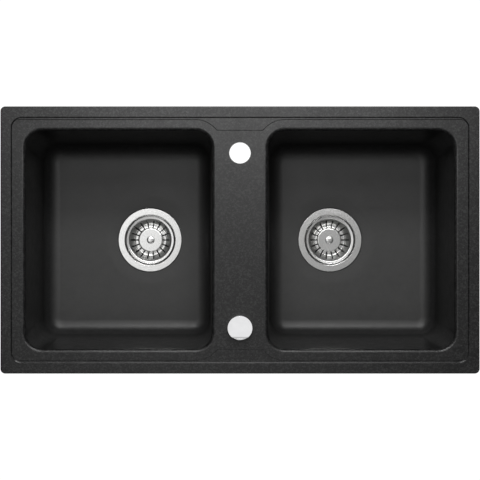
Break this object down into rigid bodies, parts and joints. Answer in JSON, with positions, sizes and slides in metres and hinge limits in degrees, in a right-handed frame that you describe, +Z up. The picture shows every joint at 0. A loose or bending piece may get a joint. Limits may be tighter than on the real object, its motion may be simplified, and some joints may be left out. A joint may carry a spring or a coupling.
{
  "type": "kitchen sink",
  "caption": "Black stone composite kitchen sink with side-by-side bowls, pop-up basket wastes, a turning waste control knob and a tap hole",
  "frame": {"origin": "middle of the sink in plan, on the worktop plane that the rim's underside rests on", "axes": "+X to the right along the long side, +Y to the back where the tap hole is, +Z up"},
  "size_m": [0.78, 0.435, 0.3015],
  "materials": {
    "composite": "fine matt grain with pale flecks",
    "steel": "turned and polished",
    "chrome": "bright plated",
    "rubber": "moulded",
    "black_plastic": "fine moulded texture",
    "grey_plastic": "moulded",
    "brass": "turned",
    "zinc_steel": "zinc plated"
  },
  "bodies": {
    "root": {"sink_body": "composite", "left_strainer_flange": "steel", "left_flange_gasket": "rubber", "left_waste_gasket": "rubber", "left_waste_body": "black_plastic", "left_threaded_insert": "brass", "left_hollow_bolt": "zinc_steel", "left_shaft_seal": "rubber", "left_cable_gland": "brass", "right_strainer_flange": "steel", "right_flange_gasket": "rubber", "right_waste_gasket": "rubber", "right_waste_body": "black_plastic", "right_threaded_insert": "brass", "right_hollow_bolt": "zinc_steel", "right_shaft_seal": "rubber", "right_cable_gland": "brass", "knob_rosette": "chrome", "rosette_seal": "rubber", "threaded_bush": "black_plastic", "spindle_ring": "rubber", "back_washer": "zinc_steel", "lock_nut": "black_plastic", "drum_housing": "black_plastic", "housing_cover": "black_plastic", "clip_screws": "zinc_steel", "clip_plugs": "grey_plastic"},
    "knob": {"control_knob": "chrome", "control_spindle": "zinc_steel", "cable_drum": "black_plastic", "drum_screw": "zinc_steel"},
    "left_crank": {"left_crank_shaft": "zinc_steel", "left_crank_lever": "grey_plastic", "left_lever_screw": "zinc_steel"},
    "left_lifter": {"left_lift_pin": "zinc_steel"},
    "left_strainer": {"left_basket": "steel", "left_basket_grip": "steel", "left_basket_stem": "steel", "left_stopper_seal": "rubber"},
    "right_crank": {"right_crank_shaft": "zinc_steel", "right_crank_lever": "grey_plastic", "right_lever_screw": "zinc_steel"},
    "right_lifter": {"right_lift_pin": "zinc_steel"},
    "right_strainer": {"right_basket": "steel", "right_basket_grip": "steel", "right_basket_stem": "steel", "right_stopper_seal": "rubber"},
    "clip_back_left": {"clip_back_left": "zinc_steel"},
    "clip_back_middle": {"clip_back_middle": "zinc_steel"},
    "clip_back_right": {"clip_back_right": "zinc_steel"},
    "clip_front_left": {"clip_front_left": "zinc_steel"},
    "clip_front_middle": {"clip_front_middle": "zinc_steel"},
    "clip_front_right": {"clip_front_right": "zinc_steel"},
    "clip_left_side": {"clip_left_side": "zinc_steel"},
    "clip_right_side": {"clip_right_side": "zinc_steel"}
  },
  "joints": [
    {"name": "knob_turn", "type": "hinge", "parent": "root", "child": "knob", "pos_m": [0, -0.142, 0.0078], "axis": [0, 0, 1], "range_deg": [0, 100]},
    {"name": "left_crank_turn", "type": "hinge", "parent": "root", "child": "left_crank", "pos_m": [-0.14591, 0, -0.22909], "axis": [0, 1, 0], "range_deg": [0, 34]},
    {"name": "left_pin_lift", "type": "slide", "parent": "root", "child": "left_lifter", "axis": [0, 0, 1], "range_m": [0, 0.00819]},
    {"name": "left_strainer_lift_out", "type": "slide", "parent": "left_lifter", "child": "left_strainer", "axis": [0, 0, 1], "range_m": [0, 0.2]},
    {"name": "right_crank_turn", "type": "hinge", "parent": "root", "child": "right_crank", "pos_m": [0.14591, 0, -0.22909], "axis": [0, -1, 0], "range_deg": [0, 34]},
    {"name": "right_pin_lift", "type": "slide", "parent": "root", "child": "right_lifter", "axis": [0, 0, 1], "range_m": [0, 0.00819]},
    {"name": "right_strainer_lift_out", "type": "slide", "parent": "right_lifter", "child": "right_strainer", "axis": [0, 0, 1], "range_m": [0, 0.2]},
    {"name": "clip_back_left_swivel", "type": "hinge", "parent": "root", "child": "clip_back_left", "pos_m": [-0.26, 0.194, -0.0125], "axis": [0, 0, 1], "range_deg": [0, 90]},
    {"name": "clip_back_middle_swivel", "type": "hinge", "parent": "root", "child": "clip_back_middle", "pos_m": [0, 0.194, -0.0125], "axis": [0, 0, 1], "range_deg": [0, 90]},
    {"name": "clip_back_right_swivel", "type": "hinge", "parent": "root", "child": "clip_back_right", "pos_m": [0.26, 0.194, -0.0125], "axis": [0, 0, 1], "range_deg": [0, 90]},
    {"name": "clip_front_left_swivel", "type": "hinge", "parent": "root", "child": "clip_front_left", "pos_m": [-0.26, -0.194, -0.0125], "axis": [0, 0, 1], "range_deg": [0, 90]},
    {"name": "clip_front_middle_swivel", "type": "hinge", "parent": "root", "child": "clip_front_middle", "pos_m": [0, -0.194, -0.0125], "axis": [0, 0, 1], "range_deg": [0, 90]},
    {"name": "clip_front_right_swivel", "type": "hinge", "parent": "root", "child": "clip_front_right", "pos_m": [0.26, -0.194, -0.0125], "axis": [0, 0, 1], "range_deg": [0, 90]},
    {"name": "clip_left_side_swivel", "type": "hinge", "parent": "root", "child": "clip_left_side", "pos_m": [-0.3665, 0, -0.0125], "axis": [0, 0, 1], "range_deg": [0, 90]},
    {"name": "clip_right_side_swivel", "type": "hinge", "parent": "root", "child": "clip_right_side", "pos_m": [0.3665, 0, -0.0125], "axis": [0, 0, 1], "range_deg": [0, 90]}
  ],
  "couplings": [
    {"joint": "left_crank_turn", "follows": "knob_turn", "ratio": 0.34},
    {"joint": "left_pin_lift", "follows": "knob_turn", "m_per_rad": 0.00469},
    {"joint": "right_crank_turn", "follows": "knob_turn", "ratio": 0.34},
    {"joint": "right_pin_lift", "follows": "knob_turn", "m_per_rad": 0.00469}
  ]
}
